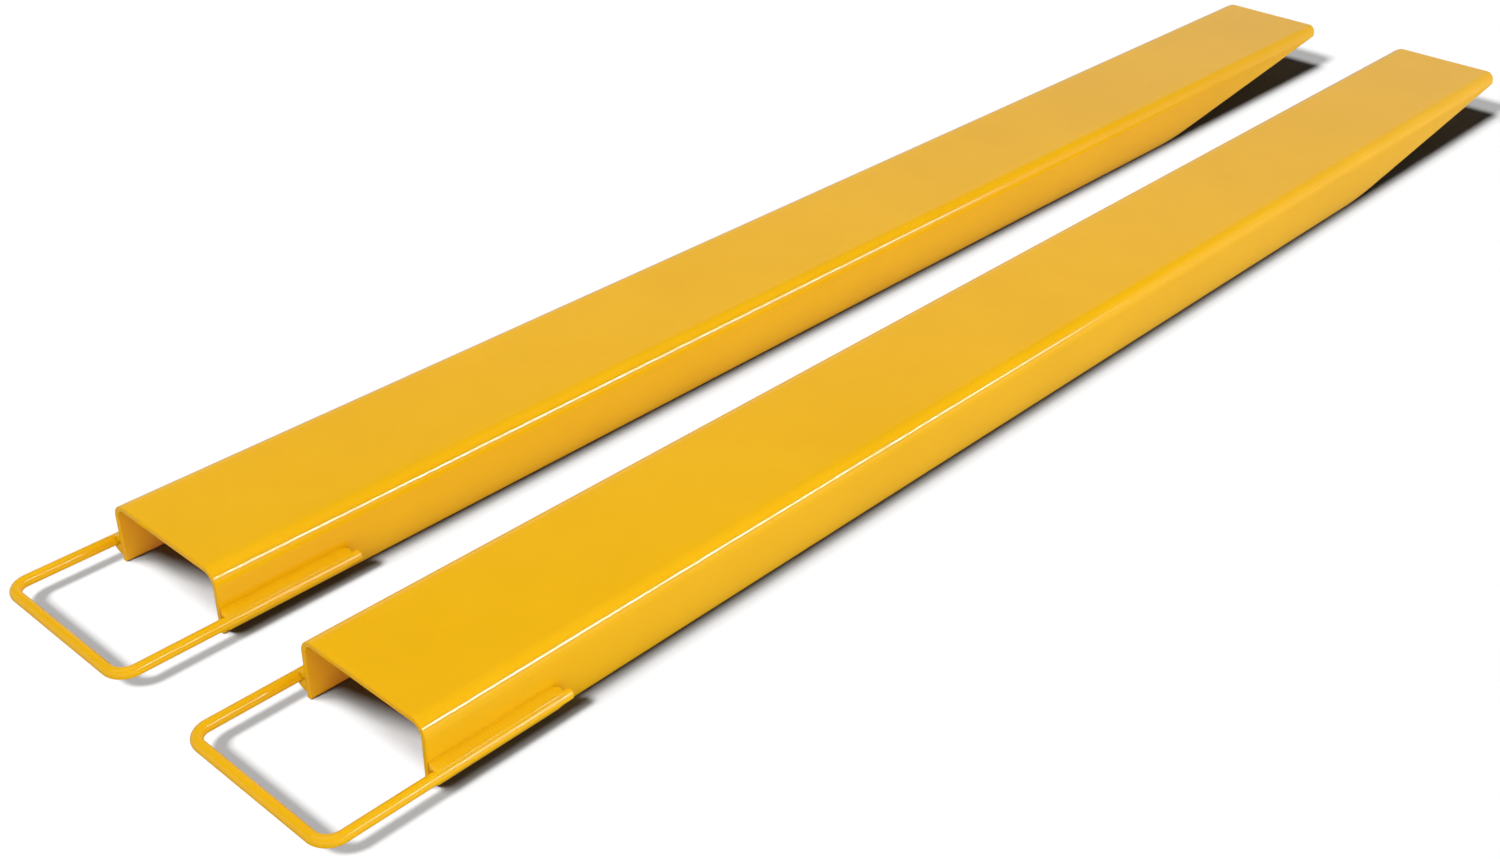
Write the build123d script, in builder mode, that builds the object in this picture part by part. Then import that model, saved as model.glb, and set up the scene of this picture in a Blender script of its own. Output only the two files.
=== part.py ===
"""Pair of slip-on pallet fork extensions, laid side by side with their heels in line.

Each extension is a long sleeve folded from one steel plate. A fork tine slides in at the
open heel, the tapered nose goes first under the load, and a bent round bar welded to the
outside of the two flanges catches behind the fork's upright shank.

Units are millimetres. X runs from the heels to the noses, Y from the right extension to
the left one, and Z up. The origin is on the floor, in the middle of the pair's plan.
"""
import os
from math import atan2, cos, radians, sin, tan

from build123d import *

# ---------------------------------------------------------------- driving dimensions

# Folded sleeve
sleeve_length = 1830.0
sleeve_width = 150.0
sleeve_height = 60.0
plate = 5.0
bend_radius = 15.0  # outside of the fold

# Tapered nose
nose_length = 380.0
nose_depth = 2 * plate  # top plate and nose plate, one on the other
knee_radius = 500.0
nose_corner = 14.0  # in plan
nose_setback = 8.0  # from the nose plate's front edge to the tip

# Heel loop, bent from round bar
bar = 10.0
bar_stand_off = 4.0  # from the flange's outer face to the bar
bar_height = 16.5  # floor to the bar's centre line
loop_reach = 98.0  # heel edge to the centre line of the loop's cross bar
loop_bend = 16.0  # on the centre line
bar_lap = 131.0  # length of each leg along its flange

# Weld beads
loop_bead_end = 126.0
upper_toe = 24.7  # height of the upper bead's toe on the flange
upper_lean = 18.0  # degrees from the top of the bar, outwards, to where the bead meets it
lower_toe = 3.5
lower_lean = 131.0
lower_belly = (8.0, 7.2)  # out from the flange's face and up from the floor
seam_width = 6.0
seam_rise = 1.4
tip_lip = 1.0  # top plate's edge left clear by the tip weld

# The pair
fork_spacing = 264.0  # from centre line to centre line

# ---------------------------------------------------------------- derived places

heel_x = -(sleeve_length - loop_reach - bar / 2) / 2
tip_x = heel_x + sleeve_length
knee_x = tip_x - nose_length
nose_rise = sleeve_height - nose_depth
nose_slope = atan2(nose_rise, nose_length)
face_y = sleeve_width / 2  # flange's outer face, from the sleeve's centre line
inside_y = face_y - plate
bar_y = face_y + bar_stand_off + bar / 2
centre_lines = {"left": fork_spacing / 2, "right": -fork_spacing / 2}
outboard_sign = {"left": 1, "right": -1}


def side_plane(centre_y):
    """Plane along the sleeve's centre line: its x is X and its y is Z."""
    return Plane(origin=(0, centre_y, 0), x_dir=(1, 0, 0), z_dir=(0, -1, 0))


def cross_plane(x, centre_y, sign=1):
    """Plane across the sleeve at x: its x points to the side given by sign, its y is Z."""
    return Plane(origin=(x, centre_y, 0), x_dir=(0, sign, 0), z_dir=(sign, 0, 0))


def nose_floor(x):
    """Height of the flange's lower edge at x, on the nose."""
    return (x - knee_x) * tan(nose_slope)


# ---------------------------------------------------------------- pieces of one extension


def make_channel(centre_y):
    """Top plate and both flanges, folded from one plate, with the nose cut away below."""
    mid_y = face_y - plate / 2
    mid_z = sleeve_height - plate / 2
    knee_tangent = knee_radius * tan(nose_slope / 2)
    beyond = 20.0  # the cut runs past the tip and below the floor
    with BuildPart() as channel:
        with BuildSketch(cross_plane(heel_x, centre_y)):
            with BuildLine():
                FilletPolyline(
                    (-mid_y, 0), (-mid_y, mid_z), (mid_y, mid_z), (mid_y, 0),
                    radius=bend_radius - plate / 2,
                )
            trace(line_width=plate)
        extrude(amount=sleeve_length)
        with BuildSketch(side_plane(centre_y)):
            with BuildLine():
                FilletPolyline(
                    (knee_x - 2 * knee_tangent, 0),
                    (knee_x, 0),
                    (tip_x + beyond, nose_floor(tip_x + beyond)),
                    radius=knee_radius,
                )
                Polyline(
                    (tip_x + beyond, nose_floor(tip_x + beyond)),
                    (tip_x + beyond, -beyond),
                    (knee_x - 2 * knee_tangent, -beyond),
                    (knee_x - 2 * knee_tangent, 0),
                )
            make_face()
        extrude(amount=sleeve_width, both=True, mode=Mode.SUBTRACT)
        with BuildSketch(Plane(origin=(heel_x, centre_y, 0))) as outline:
            Rectangle(sleeve_length, sleeve_width, align=(Align.MIN, Align.CENTER))
            fillet(outline.vertices().group_by(Axis.X)[-1], radius=nose_corner)
        extrude(amount=sleeve_height, mode=Mode.INTERSECT)
    return channel.part


def make_heel_loop(centre_y):
    """Round bar bent to a flat U: two legs along the flanges and a cross bar behind them."""
    leg_end = heel_x + bar_lap
    back = heel_x - loop_reach
    with BuildPart() as loop:
        with BuildLine(Plane(origin=(0, centre_y, bar_height))):
            FilletPolyline(
                (leg_end, bar_y), (back, bar_y), (back, -bar_y), (leg_end, -bar_y),
                radius=loop_bend,
            )
        with BuildSketch(Plane(origin=(leg_end, centre_y + bar_y, bar_height), z_dir=(-1, 0, 0))):
            Circle(bar / 2)
        sweep()
    return loop.part


def make_upper_loop_bead(centre_y, sign, loop):
    """Bead that fills the groove between a flange and the top of the loop's leg."""
    lean = radians(upper_lean)
    shoulder = (bar_y + bar / 2 * sin(lean), bar_height + bar / 2 * cos(lean))
    with BuildPart() as bead:
        with BuildSketch(cross_plane(heel_x, centre_y, sign)):
            with BuildLine():
                Polyline(
                    (bar_y, bar_height), (face_y, bar_height), (face_y, upper_toe), shoulder,
                    close=True,
                )
            make_face()
        extrude(amount=sign * loop_bead_end)
        add(loop, mode=Mode.SUBTRACT)
    return bead.part


def make_lower_loop_bead(centre_y, sign, loop):
    """Bead between a flange and the underside of the loop's leg, rounded outwards."""
    lean = radians(lower_lean)
    shoulder = (bar_y + bar / 2 * sin(lean), bar_height + bar / 2 * cos(lean))
    belly = (face_y + lower_belly[0], lower_belly[1])
    with BuildPart() as bead:
        with BuildSketch(cross_plane(heel_x, centre_y, sign)):
            with BuildLine():
                Polyline(shoulder, (bar_y, bar_height), (face_y, bar_height), (face_y, lower_toe))
                ThreePointArc((face_y, lower_toe), belly, shoulder)
            make_face()
        extrude(amount=sign * loop_bead_end)
        add(loop, mode=Mode.SUBTRACT)
    return bead.part


def make_nose_plate(centre_y, channel):
    """Sloping plate that closes the underside of the nose, cut to fit between the flanges."""
    back_x = knee_x + knee_radius * tan(nose_slope / 2)
    front_x = tip_x - nose_setback
    thick_z = plate / cos(nose_slope)
    with BuildPart() as nose_plate:
        with BuildSketch(side_plane(centre_y)):
            with BuildLine():
                Polyline(
                    (back_x, nose_floor(back_x)),
                    (front_x, nose_floor(front_x)),
                    (front_x, nose_floor(front_x) + thick_z),
                    (back_x, nose_floor(back_x) + thick_z),
                    close=True,
                )
            make_face()
        extrude(amount=inside_y, both=True)
        add(channel, mode=Mode.SUBTRACT)
    return nose_plate.part


def make_nose_seam(centre_y, sign):
    """Low bead under one edge of the nose plate, over the joint with the flange."""
    start_x = knee_x + knee_radius * tan(nose_slope / 2) + seam_width
    run = (tip_x - 2 * nose_corner - start_x) / cos(nose_slope)
    slope_plane = Plane(
        origin=(start_x, centre_y + sign * inside_y, nose_floor(start_x)),
        x_dir=(0, sign, 0),
        z_dir=(sign * cos(nose_slope), 0, sign * sin(nose_slope)),
    )
    with BuildPart() as seam:
        with BuildSketch(slope_plane):
            with BuildLine():
                ThreePointArc((-seam_width / 2, 0), (0, -seam_rise), (seam_width / 2, 0))
                Line((seam_width / 2, 0), (-seam_width / 2, 0))
            make_face()
        extrude(amount=sign * run)
    return seam.part


def make_tip_weld(centre_y):
    """Bead along the front edge of the nose plate, under the lip of the top plate."""
    front_x = tip_x - nose_setback
    under_top = sleeve_height - plate
    half_run = inside_y - bend_radius
    with BuildPart() as tip_weld:
        with BuildSketch(side_plane(centre_y)):
            with BuildLine():
                Polyline(
                    (front_x, nose_floor(front_x)),
                    (front_x, under_top),
                    (tip_x - tip_lip, under_top),
                    close=True,
                )
            make_face()
        extrude(amount=half_run, both=True)
    return tip_weld.part


# ---------------------------------------------------------------- the pair

os.makedirs("parts", exist_ok=True)


def save(piece, name):
    piece.label = name
    export_step(piece, f"parts/{name}.step")


for side, centre_y in centre_lines.items():
    channel = make_channel(centre_y)
    save(channel, f"{side}_sleeve_channel")
    loop = make_heel_loop(centre_y)
    save(loop, f"{side}_heel_loop")
    save(make_nose_plate(centre_y, channel), f"{side}_nose_plate")
    save(make_tip_weld(centre_y), f"{side}_nose_tip_weld")
    for flank, flip in (("outboard", 1), ("inboard", -1)):
        sign = flip * outboard_sign[side]
        save(make_upper_loop_bead(centre_y, sign, loop), f"{side}_{flank}_upper_loop_weld")
        save(make_lower_loop_bead(centre_y, sign, loop), f"{side}_{flank}_lower_loop_weld")
        save(make_nose_seam(centre_y, sign), f"{side}_{flank}_nose_seam_weld")
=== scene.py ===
"""Looks for the pair of slip-on pallet fork extensions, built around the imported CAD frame."""
from math import asin, atan2, cos, pi, radians, sin, sqrt, tan

import bpy
from mathutils import Matrix, Vector, noise


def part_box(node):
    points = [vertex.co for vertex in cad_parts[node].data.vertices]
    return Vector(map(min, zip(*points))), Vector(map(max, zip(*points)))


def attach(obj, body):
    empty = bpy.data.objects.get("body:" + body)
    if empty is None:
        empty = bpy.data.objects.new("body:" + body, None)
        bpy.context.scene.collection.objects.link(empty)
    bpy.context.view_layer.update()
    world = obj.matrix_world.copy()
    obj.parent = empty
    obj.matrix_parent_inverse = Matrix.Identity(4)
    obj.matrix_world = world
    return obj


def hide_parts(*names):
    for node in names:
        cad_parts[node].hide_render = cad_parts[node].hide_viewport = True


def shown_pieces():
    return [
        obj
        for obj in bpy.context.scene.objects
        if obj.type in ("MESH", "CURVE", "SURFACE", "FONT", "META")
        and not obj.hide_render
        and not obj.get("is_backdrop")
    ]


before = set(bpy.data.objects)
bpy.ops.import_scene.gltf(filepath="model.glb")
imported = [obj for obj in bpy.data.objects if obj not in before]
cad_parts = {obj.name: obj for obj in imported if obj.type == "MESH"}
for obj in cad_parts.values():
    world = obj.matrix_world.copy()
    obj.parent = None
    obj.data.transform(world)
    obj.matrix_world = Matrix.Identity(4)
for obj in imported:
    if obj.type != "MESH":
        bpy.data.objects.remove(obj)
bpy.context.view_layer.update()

# ---------------------------------------------------------------- sizes, in metres

PLATE = 0.005
FOLD_R = 0.015  # outside of the fold
NOSE_DEPTH = 0.010
KNEE_R = 0.500
NOSE_LENGTH = 0.380
PLAN_CORNER = 0.014
EDGE = 0.0009  # softened cut edges under the paint
RIM = EDGE + 0.001  # from a cut edge to the last even station or row
KNEE_SPAN = 0.060  # closer stations on either side of the knee
TIP_WARP = 0.040  # over this length stations bend to the tip's plan outline
BAR_R = 0.005
LOOP_BEND = 0.016  # on the centre line
CHAMFER = 0.0005  # on the bar's cut ends
UPPER_TOE = 0.0247
UPPER_LEAN = radians(18)
LOWER_TOE = 0.0035
LOWER_LEAN = radians(131)
LOWER_BELLY = Vector((0.008, 0.0072))  # out from the flange's face and up from the floor
SEAM_RISE = 0.0014
TUCK = 0.0001  # how far a bead's hidden faces reach into the metal under it
BEAD_AHEAD = 0.0009  # a loop bead starts this far before the heel edge
BEAD_START, BEAD_FINISH = 0.0032, 0.010  # lengths of a loop bead's rounded ends
SEAM_END = 0.003  # length of a nose bead's rounded ends

OUTBOARD = {"left": 1, "right": -1}


# ---------------------------------------------------------------- material


def powder_coat():
    """Glossy golden-yellow powder coat: slight orange peel and slight unevenness of tone."""
    mat = bpy.data.materials.new("powder_coat")
    mat.use_nodes = True
    nodes, links = mat.node_tree.nodes, mat.node_tree.links
    shader = nodes["Principled BSDF"]
    shader.inputs["IOR"].default_value = 1.5
    place = nodes.new("ShaderNodeTexCoord")

    def noise_at(scale, detail, roughness=0.5):
        node = nodes.new("ShaderNodeTexNoise")
        node.inputs["Scale"].default_value = scale
        node.inputs["Detail"].default_value = detail
        node.inputs["Roughness"].default_value = roughness
        links.new(place.outputs["Object"], node.inputs["Vector"])
        return node.outputs["Fac"]

    def ramp(fac, low, high, ends):
        node = nodes.new("ShaderNodeMapRange")
        node.inputs["From Min"].default_value = low
        node.inputs["From Max"].default_value = high
        node.inputs["To Min"].default_value = ends[0]
        node.inputs["To Max"].default_value = ends[1]
        links.new(fac, node.inputs["Value"])
        return node.outputs["Result"]

    # tone: slow unevenness over hands' breadths, and a fine speckle
    tone = nodes.new("ShaderNodeMix")
    tone.data_type = "RGBA"
    tone.inputs["A"].default_value = (0.830, 0.436, 0.0020, 1)
    tone.inputs["B"].default_value = (0.865, 0.460, 0.0034, 1)
    links.new(ramp(noise_at(9, 3), 0.3, 0.7, (0, 1)), tone.inputs["Factor"])
    speck = nodes.new("ShaderNodeMix")
    speck.data_type = "RGBA"
    speck.blend_type = "MULTIPLY"
    speck.inputs["B"].default_value = (0.965, 0.955, 0.9, 1)
    links.new(tone.outputs["Result"], speck.inputs["A"])
    links.new(ramp(noise_at(1400, 1), 0.45, 0.72, (0, 0.4)), speck.inputs["Factor"])
    links.new(speck.outputs["Result"], shader.inputs["Base Color"])
    links.new(ramp(noise_at(40, 2), 0.3, 0.7, (0.085, 0.11)), shader.inputs["Roughness"])

    # gloss fades at the flattest viewing angles, where the pale surroundings would hide the yellow
    edge_on = nodes.new("ShaderNodeLayerWeight")
    edge_on.inputs["Blend"].default_value = 0.5
    gloss = ramp(edge_on.outputs["Facing"], 0.78, 0.93, (0.5, 0.0))
    links.new(gloss, shader.inputs["Specular IOR Level"])

    # orange peel, with a longer wave under it
    peel = nodes.new("ShaderNodeBump")
    peel.inputs["Strength"].default_value = 0.15
    peel.inputs["Distance"].default_value = 0.00006
    links.new(noise_at(520, 1.5), peel.inputs["Height"])
    wave = nodes.new("ShaderNodeBump")
    wave.inputs["Strength"].default_value = 0.05
    wave.inputs["Distance"].default_value = 0.0004
    links.new(noise_at(34, 1), wave.inputs["Height"])
    links.new(wave.outputs["Normal"], peel.inputs["Normal"])
    links.new(peel.outputs["Normal"], shader.inputs["Normal"])
    return mat


COAT = powder_coat()


def finished(name, verts, faces, body, node):
    """Smooth-shaded mesh object that stands for a CAD node and rides on its body."""
    mesh = bpy.data.meshes.new(name)
    mesh.from_pydata([tuple(v) for v in verts], [], faces)
    mesh.validate()
    mesh.update()
    mesh.polygons.foreach_set("use_smooth", [True] * len(mesh.polygons))
    mesh.materials.append(COAT)
    obj = bpy.data.objects.new(name, mesh)
    bpy.context.scene.collection.objects.link(obj)
    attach(obj, body)
    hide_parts(node)
    return obj


def wobble(x, seed, size):
    """Smooth repeatable noise along x, from about -1 to 1."""
    return noise.noise(Vector((x / size, seed * 17.31, seed * 3.7)))


# ---------------------------------------------------------------- one extension's places


class Sleeve:
    """Places of one extension, read from its CAD nodes' boxes."""

    def __init__(self, side):
        low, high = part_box(f"{side}_sleeve_channel")
        self.side = side
        self.body = f"{side}_extension"
        self.heel, self.tip = low.x, high.x
        self.mid = (low.y + high.y) / 2
        self.half = (high.y - low.y) / 2
        self.top = high.z
        self.knee = self.tip - NOSE_LENGTH
        self.slope = atan2(self.top - NOSE_DEPTH, NOSE_LENGTH)
        loop_low, loop_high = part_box(f"{side}_heel_loop")
        self.loop_back = loop_low.x + BAR_R
        self.leg_end = loop_high.x
        self.bar_y = loop_high.y - self.mid - BAR_R
        self.bar_z = (loop_low.z + loop_high.z) / 2

    def floor(self, x):
        """Height of the flange's lower edge at x."""
        reach = KNEE_R * tan(self.slope / 2)
        if x <= self.knee - reach:
            return 0.0
        if x < self.knee + reach * cos(self.slope):
            return KNEE_R - sqrt(KNEE_R**2 - (x - self.knee + reach) ** 2)
        return (x - self.knee) * tan(self.slope)

    def end_x(self, y):
        """Where the plan outline of the tip lies at y from the centre line."""
        past = abs(y) - (self.half - PLAN_CORNER)
        if past <= 0:
            return self.tip
        return self.tip - PLAN_CORNER + sqrt(max(0.0, PLAN_CORNER**2 - past**2))

    def on_fold(self, s, inset):
        """Point (y, z) at arc length s from the top's centre, on the sheet inset by that depth."""
        radius = FOLD_R - inset
        flat = self.half - FOLD_R
        centre_z = self.top - FOLD_R
        sign = 1 if s >= 0 else -1
        s = abs(s)
        if s <= flat:
            return sign * s, self.top - inset
        if s <= flat + radius * pi / 2:
            turn = (s - flat) / radius
            return sign * (flat + radius * sin(turn)), centre_z + radius * cos(turn)
        return sign * (self.half - inset), centre_z - (s - flat - radius * pi / 2)

    def arc_to(self, z, inset):
        """Arc length from the top's centre down to height z."""
        radius = FOLD_R - inset
        flat = self.half - FOLD_R
        centre_z = self.top - FOLD_R
        if z < centre_z:
            return flat + radius * pi / 2 + centre_z - z
        return flat + radius * (pi / 2 - asin((z - centre_z) / radius))


# ---------------------------------------------------------------- sleeve channel


def spread(*runs):
    """Values from (start, end, count) runs that follow on from each other."""
    values = [runs[0][0]]
    for start, end, count in runs:
        values += [start + (end - start) * (i + 1) / count for i in range(count)]
    return values


def channel_stations(sleeve):
    """Places along X of the channel's rows, closest together at its ends."""
    start_warp = sleeve.tip - TIP_WARP
    return spread(
        (sleeve.heel, sleeve.heel + EDGE, 1),
        (sleeve.heel + EDGE, sleeve.heel + RIM, 1),
        (sleeve.heel + RIM, sleeve.knee - KNEE_SPAN, 72),
        (sleeve.knee - KNEE_SPAN, sleeve.knee + KNEE_SPAN, 30),
        (sleeve.knee + KNEE_SPAN, start_warp, 60),
        (start_warp, sleeve.tip - RIM, 16),
        (sleeve.tip - RIM, sleeve.tip - EDGE, 1),
        (sleeve.tip - EDGE, sleeve.tip, 1),
    )


def channel_skin(sleeve, stations, inset):
    """Rows of points across the channel, one for each station, on the sheet inset by that depth."""
    start_warp = sleeve.tip - TIP_WARP
    flat = sleeve.half - FOLD_R
    fold_end = flat + (FOLD_R - inset) * pi / 2
    length = sleeve.arc_to(0.0, inset)
    half_row = spread(
        (0, flat, 8),
        (flat, fold_end, 20),
        (fold_end, length - RIM, 26),
        (length - RIM, length - EDGE, 1),
        (length - EDGE, length, 1),
    )
    shares = [-s / length for s in reversed(half_row[1:])] + [s / length for s in half_row]
    margin = {0: 0.0, 1: EDGE, 2: RIM}
    rows = []
    for x0 in stations:
        row = []
        for k, share in enumerate(shares):
            from_edge = min(k, len(shares) - 1 - k)
            x = x0
            for _ in range(6):  # x, and the flange's height there, settle together
                end = sleeve.arc_to(sleeve.floor(x), inset)
                if from_edge in margin:
                    s = (end - margin[from_edge]) * (1 if share > 0 else -1)
                else:
                    s = share * end
                y, z = sleeve.on_fold(s, inset)
                if x0 > start_warp:
                    part = (x0 - start_warp) / (sleeve.tip - start_warp)
                    x = start_warp + part * (sleeve.end_x(y) - start_warp)
            row.append(Vector((x, y, z)))
        rows.append(row)
    return rows


def over_cut_edge(start, corner_out, corner_in, goal):
    """Points from the outer skin's start to the inner skin's goal, over softened corners.

    Points 4 to 8 are the flat of the cut edge.
    """
    across = corner_in - corner_out
    soft = min(EDGE, across.length * 0.45)
    lip_out = corner_out + across.normalized() * soft
    lip_in = corner_in - across.normalized() * soft
    points = []
    for t in (0.2, 0.4, 0.6, 0.8, 1.0):
        points.append(start.lerp(corner_out, t).lerp(corner_out.lerp(lip_out, t), t))
    for t in (0.25, 0.5, 0.75):
        points.append(lip_out.lerp(lip_in, t))
    for t in (0.0, 0.2, 0.4, 0.6, 0.8):
        points.append(lip_in.lerp(corner_in, t).lerp(corner_in.lerp(goal, t), t))
    return points


def make_channel(sleeve):
    """Folded sheet with an inner and an outer skin and rounded rims all the way round."""
    stations = channel_stations(sleeve)
    skins = [channel_skin(sleeve, stations, inset) for inset in (0.0, PLATE)]
    verts, faces = [], []

    def add(point):
        verts.append(Vector((point.x, point.y + sleeve.mid, point.z)))
        return len(verts) - 1

    n, m = len(stations) - 1, len(skins[0][0]) - 1
    index = []
    for which, rows in enumerate(skins):
        grid = {(i, j): add(rows[i][j]) for i in range(1, n) for j in range(1, m)}
        index.append(grid)
        for i in range(1, n - 1):
            for j in range(1, m - 1):
                face = (grid[i, j], grid[i + 1, j], grid[i + 1, j + 1], grid[i, j + 1])
                faces.append(face if which == 0 else face[::-1])

    # the rim: once round the sheet, from the outer skin over the cut edge to the inner one
    ring = [(1, j) for j in range(1, m)]
    ring += [(i, m - 1) for i in range(2, n)]
    ring += [(n - 1, j) for j in range(m - 2, 0, -1)]
    ring += [(i, 1) for i in range(n - 2, 1, -1)]

    def beyond(i, j):
        return (
            0 if i == 1 else n if i == n - 1 else i,
            0 if j == 1 else m if j == m - 1 else j,
        )

    strips = []
    for i, j in ring:
        bi, bj = beyond(i, j)
        middle = over_cut_edge(skins[0][i][j], skins[0][bi][bj], skins[1][bi][bj], skins[1][i][j])
        if bi == n and 0 < bj < m:
            for point in middle[4:9]:
                point.x = sleeve.end_x(point.y)
        strips.append([index[0][i, j], *[add(p) for p in middle], index[1][i, j]])
    for a, two in enumerate(strips):
        one = strips[a - 1]
        for k in range(len(one) - 1):
            faces.append((one[k], two[k], two[k + 1], one[k + 1]))
    name = f"{sleeve.side}_sleeve_channel_detail"
    return finished(name, verts, faces, sleeve.body, f"{sleeve.side}_sleeve_channel")


# ---------------------------------------------------------------- heel loop


def make_loop(sleeve):
    """Round bar swept round two bends, slightly pressed on the outside and creased inside."""
    centre, outward, at_bend = [], [], []

    def run(a, b, out):
        count = max(1, round((b - a).length / 0.006))
        for k in range(count + 1):
            centre.append(a.lerp(b, k / count))
            outward.append(out)
            at_bend.append(0.0)

    def bend(pivot, start, steps=48):
        for k in range(1, steps):
            angle = start + pi / 2 * k / steps
            out = Vector((cos(angle), sin(angle), 0))
            centre.append(pivot + out * LOOP_BEND)
            outward.append(out)
            at_bend.append(sin(pi * k / steps))

    z, y, back = sleeve.bar_z, sleeve.bar_y, sleeve.loop_back
    end = sleeve.leg_end - CHAMFER
    first, last = back + LOOP_BEND, y - LOOP_BEND
    run(Vector((end, y, z)), Vector((first, y, z)), Vector((0, 1, 0)))
    bend(Vector((first, last, z)), pi / 2)
    run(Vector((back, last, z)), Vector((back, -last, z)), Vector((-1, 0, 0)))
    bend(Vector((first, -last, z)), pi)
    run(Vector((first, -y, z)), Vector((end, -y, z)), Vector((0, -1, 0)))

    sides = 40
    verts, faces = [], []
    travelled = 0.0

    def ring(at, out, radius_of):
        for k in range(sides):
            angle = 2 * pi * k / sides
            offset = out * cos(angle) + Vector((0, 0, sin(angle)))
            point = at + offset * radius_of(angle)
            verts.append(point + Vector((0, sleeve.mid, 0)))

    # rounded rim of a cut end: (ahead of the last full ring, radius), from the end face inwards
    ends = [(CHAMFER, 0.0044), (0.00042, 0.0047), (0.00025, 0.00494)]
    for ahead, radius in ends:
        ring(centre[0] + Vector((ahead, 0, 0)), outward[0], lambda _, r=radius: r)
    for k, at in enumerate(centre):
        if k:
            travelled += (at - centre[k - 1]).length
        strength, along = at_bend[k], travelled

        def radius_of(angle, strength=strength, along=along):
            inner = max(0.0, -cos(angle)) ** 3
            outer = max(0.0, cos(angle)) ** 2
            crease = 0.035 * inner * sin(2 * pi * along / 0.0026)
            return BAR_R * (1 + strength * (crease - 0.025 * outer + 0.012 * inner))

        ring(at, outward[k], radius_of)
    for ahead, radius in reversed(ends):
        ring(centre[-1] + Vector((ahead, 0, 0)), outward[-1], lambda _, r=radius: r)
    count = len(verts) // sides
    for i in range(count - 1):
        for k in range(sides):
            a, b = i * sides + k, i * sides + (k + 1) % sides
            faces.append((a, a + sides, b + sides, b))
    for row, order in ((0, 1), (count - 1, -1)):
        rim = [row * sides + k for k in range(sides)]
        verts.append(sum((verts[r] for r in rim), Vector()) / sides)
        hub = len(verts) - 1
        for k in range(sides):
            tri = (hub, rim[k], rim[(k + 1) % sides])
            faces.append(tri[::order])
    name = f"{sleeve.side}_heel_loop_detail"
    return finished(name, verts, faces, sleeve.body, f"{sleeve.side}_heel_loop")


# ---------------------------------------------------------------- weld beads


def sweep_bead(node, sleeve, frames, outline, ends):
    """Closed solid from one outline per station, drawn in to rounded ends.

    frames gives (distance along, origin, across, up); outline gives the loop of points for a
    distance along; ends gives how long the rounding is at either end.
    """
    verts, faces = [], []
    total = frames[-1][0]
    rows = len(frames)
    for along, origin, across, up in frames:
        points = outline(along)
        anchor = sum(points, Vector((0, 0))) / len(points)
        near = min(1.0, along / ends[0])
        far = min(1.0, (total - along) / ends[1])
        scale = sqrt(max(0.0, 1 - (1 - near) ** 2)) * sqrt(max(0.0, 1 - (1 - far) ** 2))
        scale = max(scale, 0.02)
        for p in points:
            q = anchor + (p - anchor) * scale
            verts.append(origin + across * q.x + up * q.y)
    size = len(verts) // rows
    for i in range(rows - 1):
        for k in range(size):
            a, b = i * size + k, i * size + (k + 1) % size
            faces.append((a, b, b + size, a + size))
    faces.append(tuple(range(size))[::-1])
    faces.append(tuple(range((rows - 1) * size, rows * size)))
    flip_if_inside_out(finished(node + "_detail", verts, faces, sleeve.body, node))


def flip_if_inside_out(obj):
    """Turns the faces outwards if the mesh's signed volume is negative."""
    mesh = obj.data
    volume = 0.0
    for poly in mesh.polygons:
        a = mesh.vertices[poly.vertices[0]].co
        for k in range(1, len(poly.vertices) - 1):
            b = mesh.vertices[poly.vertices[k]].co
            c = mesh.vertices[poly.vertices[k + 1]].co
            volume += a.dot(b.cross(c))
    if volume < 0:
        mesh.flip_normals()


def stations_along(length, end_a, end_b, step):
    """Distances along a bead: close together at its rounded ends, then even."""
    at = [end_a * (1 - cos(pi / 2 * k / 8)) for k in range(9)]
    count = max(1, round((length - end_a - end_b) / step))
    at += [end_a + (length - end_a - end_b) * k / count for k in range(1, count + 1)]
    at += [length - end_b * (1 - sin(pi / 2 * k / 8)) for k in range(1, 9)]
    return at


def ripple(along, t, pitch, seed):
    """Crescent ripples of a laid bead: t runs across it from 0 to 1."""
    bow = 0.9 * pitch * (1 - (2 * t - 1) ** 2)
    beat = along + bow + 0.35 * pitch * wobble(along, seed, 0.011)
    return cos(2 * pi * beat / pitch)


def loop_bead_outline(sleeve, upper, seed):
    """Outline of a loop bead at a distance along it, as points out from the centre line and up."""
    face, by, bz = sleeve.half, sleeve.bar_y, sleeve.bar_z
    lean = UPPER_LEAN if upper else LOWER_LEAN

    def outline(along):
        grow = wobble(along, seed, 0.016)
        toe_z = (UPPER_TOE + 0.0006 * grow) if upper else (LOWER_TOE - 0.0004 * grow)
        toe = Vector((face, toe_z))
        angle = lean + 0.05 * wobble(along, seed + 5, 0.013)
        shoulder = Vector((by + BAR_R * sin(angle), bz + BAR_R * cos(angle)))
        surface = []
        steps = 14
        if upper:
            normal = Vector((toe.y - shoulder.y, shoulder.x - toe.x)).normalized()
            pull = toe.lerp(shoulder, 0.5) + normal * 0.0006
        else:
            belly = Vector((face + LOWER_BELLY.x, LOWER_BELLY.y))
            pull = belly * 2 - (toe + shoulder) / 2
            normal = (belly - Vector((by, bz))).normalized()
        for k in range(steps + 1):
            t = k / steps
            p = toe.lerp(pull, t).lerp(pull.lerp(shoulder, t), t)
            fade = sin(pi * t) ** 0.7
            p = p + normal * fade * (0.00003 * ripple(along, t, 0.0038, seed) + 0.00012 * grow)
            surface.append(p)
        under = BAR_R - TUCK
        to_flange = -pi / 2 if upper else 3 * pi / 2
        back = [
            Vector((by + under * sin(a), bz + under * cos(a)))
            for a in spread((angle, to_flange, 12))
        ]
        root = [Vector((face - TUCK, bz)), Vector((face - TUCK, toe.y))]
        return surface + back + root

    return outline


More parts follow.
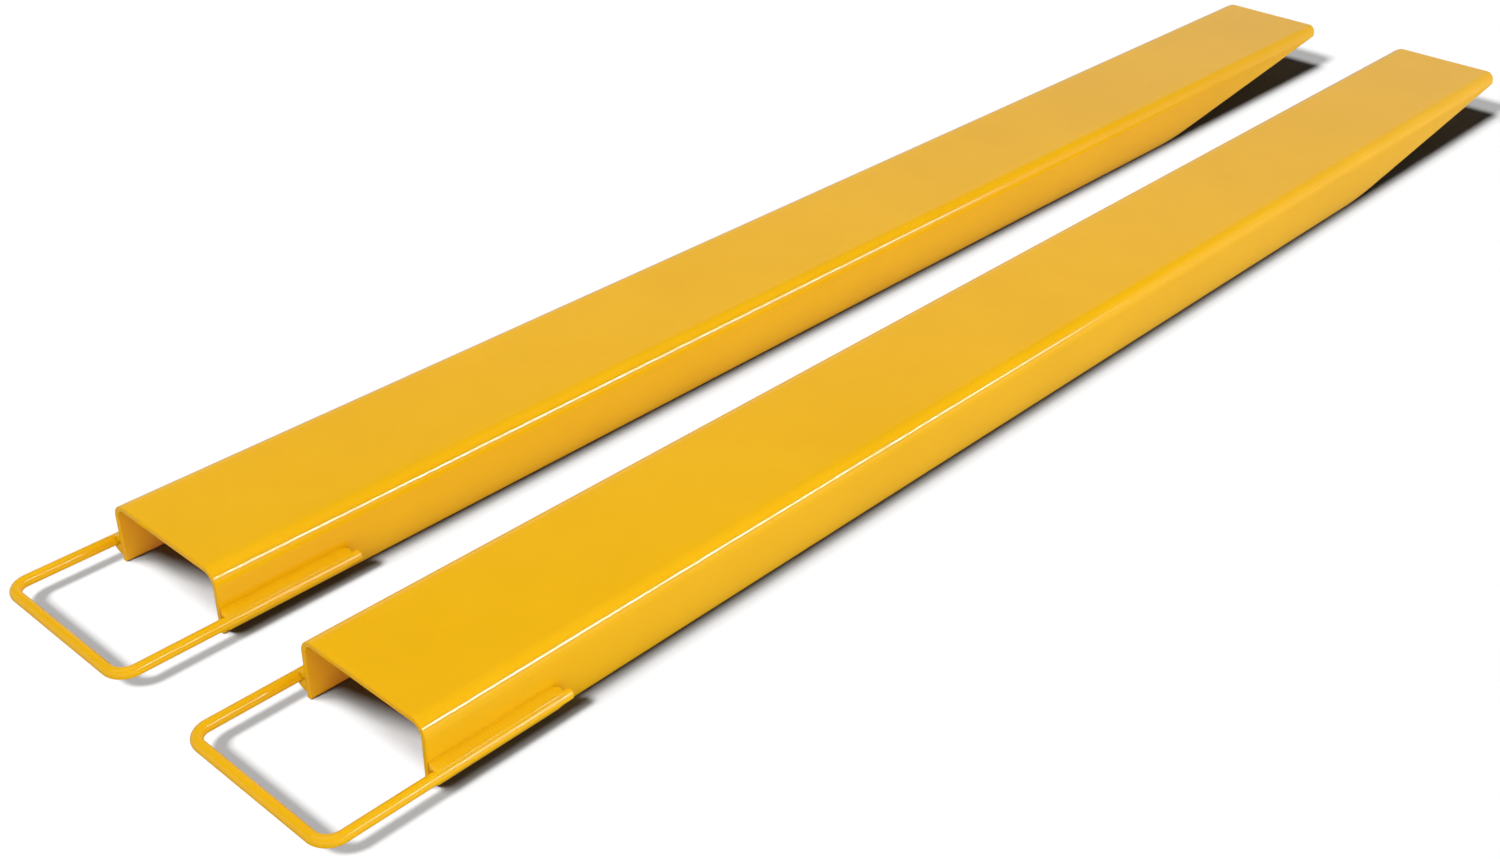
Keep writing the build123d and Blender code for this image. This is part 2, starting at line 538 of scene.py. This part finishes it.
def make_loop_beads(sleeve):
    """Beads above and below both legs of the loop."""
    for flank, flip in (("outboard", 1), ("inboard", -1)):
        sign = flip * OUTBOARD[sleeve.side]
        for level, upper in (("upper", True), ("lower", False)):
            node = f"{sleeve.side}_{flank}_{level}_loop_weld"
            low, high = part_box(node)
            seed = 1 + len(node) + 3 * sign + (7 if sleeve.side == "left" else 0)
            start = low.x - BEAD_AHEAD
            frames = [
                (d, Vector((start + d, sleeve.mid, 0)), Vector((0, sign, 0)), Vector((0, 0, 1)))
                for d in stations_along(high.x - start, BEAD_START, BEAD_FINISH, 0.00055)
            ]
            outline = loop_bead_outline(sleeve, upper, seed)
            sweep_bead(node, sleeve, frames, outline, (BEAD_START, BEAD_FINISH))


def make_nose_beads(sleeve):
    """Seam beads under the nose plate's long edges, and the bead along its front edge."""
    for flank, flip in (("outboard", 1), ("inboard", -1)):
        sign = flip * OUTBOARD[sleeve.side]
        node = f"{sleeve.side}_{flank}_nose_seam_weld"
        low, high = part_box(node)
        centre_y = (low.y + high.y) / 2
        half = (high.y - low.y) / 2
        seed = 3 + len(node) + sign
        uphill = Vector((cos(sleeve.slope), 0, sin(sleeve.slope)))
        down = Vector((sin(sleeve.slope), 0, -cos(sleeve.slope)))
        length = (high.x - low.x) / cos(sleeve.slope)
        start = Vector((low.x, centre_y, sleeve.floor(low.x)))

        def outline(along, half=half, seed=seed):
            points = []
            for k in range(13):
                t = k / 12
                width = half * (1 + 0.06 * wobble(along, seed, 0.015))
                rise = SEAM_RISE * sin(pi * t) * (1 + 0.07 * ripple(along, t, 0.0032, seed))
                points.append(Vector((width * (2 * t - 1), rise)))
            return points + [Vector((half * 0.8, -0.0003)), Vector((-half * 0.8, -0.0003))]

        frames = [
            (d, start + uphill * d, Vector((0, 1, 0)), down)
            for d in stations_along(length, SEAM_END, SEAM_END, 0.0008)
        ]
        sweep_bead(node, sleeve, frames, outline, (SEAM_END, SEAM_END))

    node = f"{sleeve.side}_nose_tip_weld"
    low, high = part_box(node)
    seed = 11 if sleeve.side == "left" else 12
    deep = Vector((low.x, sleeve.floor(low.x)))
    lip = Vector((high.x, high.z))
    heart = Vector((low.x, high.z))

    normal = Vector((lip.y - deep.y, deep.x - lip.x)).normalized()

    def tip_outline(along):
        points = []
        for k in range(11):
            t = k / 10
            bulge = 0.0004 * sin(pi * t) * (1 + 0.4 * ripple(along, t, 0.003, seed))
            points.append(deep.lerp(lip, t) + normal * bulge)
        return points + [heart + Vector((0, TUCK)), heart]

    frames = [
        (d, Vector((0, low.y + d, 0)), Vector((1, 0, 0)), Vector((0, 0, 1)))
        for d in stations_along(high.y - low.y, SEAM_END, SEAM_END, 0.0008)
    ]
    sweep_bead(node, sleeve, frames, tip_outline, (SEAM_END, SEAM_END))


# ---------------------------------------------------------------- the pair

for side in ("left", "right"):
    sleeve = Sleeve(side)
    make_channel(sleeve)
    make_loop(sleeve)
    make_loop_beads(sleeve)
    make_nose_beads(sleeve)
    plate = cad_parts[f"{side}_nose_plate"]
    plate.data.materials.clear()
    plate.data.materials.append(COAT)

# ---------------------------------------------------------------- floor, light and camera


def plain_material(name, colour, roughness):
    """Matt material of one colour, for the floor."""
    mat = bpy.data.materials.new(name)
    mat.use_nodes = True
    shader = mat.node_tree.nodes["Principled BSDF"]
    shader.inputs["Base Color"].default_value = (*colour, 1)
    shader.inputs["Roughness"].default_value = roughness
    shader.inputs["Specular IOR Level"].default_value = 0.0
    return mat


def quad(name, corners):
    """Mesh of one four-cornered face."""
    mesh = bpy.data.meshes.new(name)
    mesh.from_pydata(corners, [], [(0, 1, 2, 3)])
    return mesh


def group(name, objects):
    """Collection that isn't in the scene: it only says what a light falls on or is blocked by."""
    collection = bpy.data.collections.new(name)
    for obj in objects:
        collection.objects.link(obj)
    return collection


FLOOR_REACH = 300.0  # so far that low views see no gap below the horizon
FLOOR_DROP = 0.0003  # below the flanges' lower edges
floor_mesh = quad("floor", [
    (-FLOOR_REACH, -FLOOR_REACH, 0),
    (FLOOR_REACH, -FLOOR_REACH, 0),
    (FLOOR_REACH, FLOOR_REACH, 0),
    (-FLOOR_REACH, FLOOR_REACH, 0),
])
floor_mesh.materials.append(plain_material("floor_white", (0.12, 0.12, 0.12), 0.9))
floor = bpy.data.objects.new("floor", floor_mesh)
bpy.context.scene.collection.objects.link(floor)
floor.location.z = -FLOOR_DROP
floor.visible_glossy = False
floor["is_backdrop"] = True

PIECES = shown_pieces()
lit_object = group("lit_object", PIECES)
lit_floor = group("lit_floor", [floor])


def lamp(name, kind, spot, target, power, falls_on):
    """Light at spot, aimed at target, that falls only on the objects of one collection.

    An area light's first side lies as near to X as its aim allows.
    """
    data = bpy.data.lights.new(name, kind)
    data.energy = power
    obj = bpy.data.objects.new(name, data)
    bpy.context.scene.collection.objects.link(obj)
    obj.location = spot
    obj.rotation_mode = "QUATERNION"
    back = (Vector(spot) - Vector(target)).normalized()
    long_side = (Vector((1, 0, 0)) - back * back.x).normalized()
    axes = Matrix((long_side, back.cross(long_side), back)).transposed()
    obj.rotation_quaternion = axes.to_quaternion()
    obj.light_linking.receiver_collection = falls_on
    return obj


def softbox(name, spot, target, size, power):
    """Rectangular light that falls on the object and is blocked by nothing else."""
    obj = lamp(name, "AREA", spot, target, power, lit_object)
    obj.light_linking.blocker_collection = lit_object
    obj.data.shape = "RECTANGLE"
    obj.data.size, obj.data.size_y = size
    return obj


def floor_sun(name, towards, spread_deg, power):
    """Parallel light from that direction that falls only on the floor."""
    obj = lamp(name, "SUN", towards, (0, 0, 0), power, lit_floor)
    obj.data.angle = radians(spread_deg)
    return obj


# of these four, only the overhead one is reflected in the paint
softbox("ceiling", (-1.4, 0, 2.6), (-1.4, 0, 0), (8.0, 8.0), 196).visible_glossy = False
softbox("overhead", (-1.3, 0.3, 2.6), (-0.9, 0, 0), (2.4, 2.0), 8)
softbox("front", (0.6, -3.2, 1.5), (0.3, 0, 0), (4.6, 1.6), 48).visible_glossy = False
softbox("heels", (-2.7, -1.4, 1.1), (-0.8, 0, 0), (1.2, 1.2), 2).visible_glossy = False

# seen only as a reflection: the long highlight on the fold
streak = softbox("streak", (10.0, -15.09, 8.73), (0.1, -0.46, 0.2), (13.8, 1.08), 165)
streak.visible_diffuse = False
streak.data.spread = radians(52)

floor_top = floor_sun("floor_top", (-0.25, 0.32, 1), 18, 11.5)
floor_low = floor_sun("floor_low", (-1.0, 0.15, 1), 13, 22.2)


def add_bounce(side):
    """Stands for the light that goes from flange to flange in the sleeve's mouth."""
    low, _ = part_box(f"{side}_sleeve_channel")
    spot = Vector((low.x + 0.10, low.y + 0.015, 0.030))
    bounce = softbox("bounce_" + side, spot, spot + Vector((0, 0.1, 0)), (0.24, 0.04), 0.035)
    bounce.data.color = (1.0, 0.10, 0.0)
    bounce.visible_glossy = False
    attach(bounce, f"{side}_extension")


def add_flag(side):
    """Card over the sleeve's mouth that no camera sees and that only blocks light.

    It reaches furthest out at the left flange, where the wedge of shadow in the mouth is deepest.
    """
    low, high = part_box(f"{side}_sleeve_channel")
    near_reach, far_reach = 0.008, 0.050  # out from the heel edge
    right_y, left_y = low.y + 0.005, high.y + 0.009
    card = quad("flag_" + side, [
        (low.x - near_reach, right_y, high.z),
        (low.x, right_y, high.z),
        (low.x, left_y, high.z),
        (low.x - far_reach, left_y, high.z),
    ])
    flag = bpy.data.objects.new("flag_" + side, card)
    bpy.context.scene.collection.objects.link(flag)
    flag.visible_camera = flag.visible_diffuse = flag.visible_glossy = False
    flag.visible_transmission = False
    flag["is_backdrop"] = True
    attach(flag, f"{side}_extension")
    return flag


for side in ("left", "right"):
    add_bounce(side)
flags = [add_flag(side) for side in ("left", "right")]
plates = [piece for piece in PIECES if "channel" in piece.name or "nose_plate" in piece.name]
floor_top.light_linking.blocker_collection = group("channels_only", plates)
floor_low.light_linking.blocker_collection = group("low_sun_blockers", PIECES + flags)

world = bpy.data.worlds.new("studio")
bpy.context.scene.world = world
world.use_nodes = True
sky = world.node_tree
sky_place = sky.nodes.new("ShaderNodeTexCoord")
sky_split = sky.nodes.new("ShaderNodeSeparateXYZ")
sky_height = sky.nodes.new("ShaderNodeMapRange")
sky_height.inputs["From Min"].default_value = -1
sky_height.inputs["From Max"].default_value = 1
sky_ramp = sky.nodes.new("ShaderNodeValToRGB")
sky.links.new(sky_place.outputs["Generated"], sky_split.inputs["Vector"])
sky.links.new(sky_split.outputs["Z"], sky_height.inputs["Value"])
sky.links.new(sky_height.outputs["Result"], sky_ramp.inputs["Fac"])
stops = [  # (sine of the height above the horizon, grey)
    (-0.67, 0.04), (-0.60, 0.23), (-0.40, 0.26), (-0.05, 0.38), (0.0, 0.78),
    (0.10, 0.62), (0.25, 0.46), (0.32, 0.50), (0.47, 0.34), (0.60, 0.05),
]
ramp_stops = sky_ramp.color_ramp.elements
while len(ramp_stops) < len(stops):
    ramp_stops.new(0.5)
for stop, (height, grey) in zip(ramp_stops, stops):
    stop.position = (height + 1) / 2
    stop.color = (grey, grey, grey, 1)
sky.links.new(sky_ramp.outputs["Color"], sky.nodes["Background"].inputs["Color"])

camera_data = bpy.data.cameras.new("camera")
camera_data.sensor_width = 36.0
camera_data.lens = 44.03
camera = bpy.data.objects.new("camera", camera_data)
bpy.context.scene.collection.objects.link(camera)
bpy.context.scene.camera = camera
azimuth, drop, roll = radians(42.06), radians(31.63), radians(1.05)
forward = Vector((cos(drop) * cos(azimuth), cos(drop) * sin(azimuth), -sin(drop)))
right = forward.cross(Vector((0, 0, 1))).normalized()
right = Matrix.Rotation(-roll, 3, forward) @ right
up = right.cross(forward)
camera.location = (-1.4542, -1.0486, 0.9309)
camera.rotation_mode = "QUATERNION"
camera.rotation_quaternion = Matrix((right, up, -forward)).transposed().to_quaternion()

bpy.context.scene.view_settings.view_transform = "Standard"
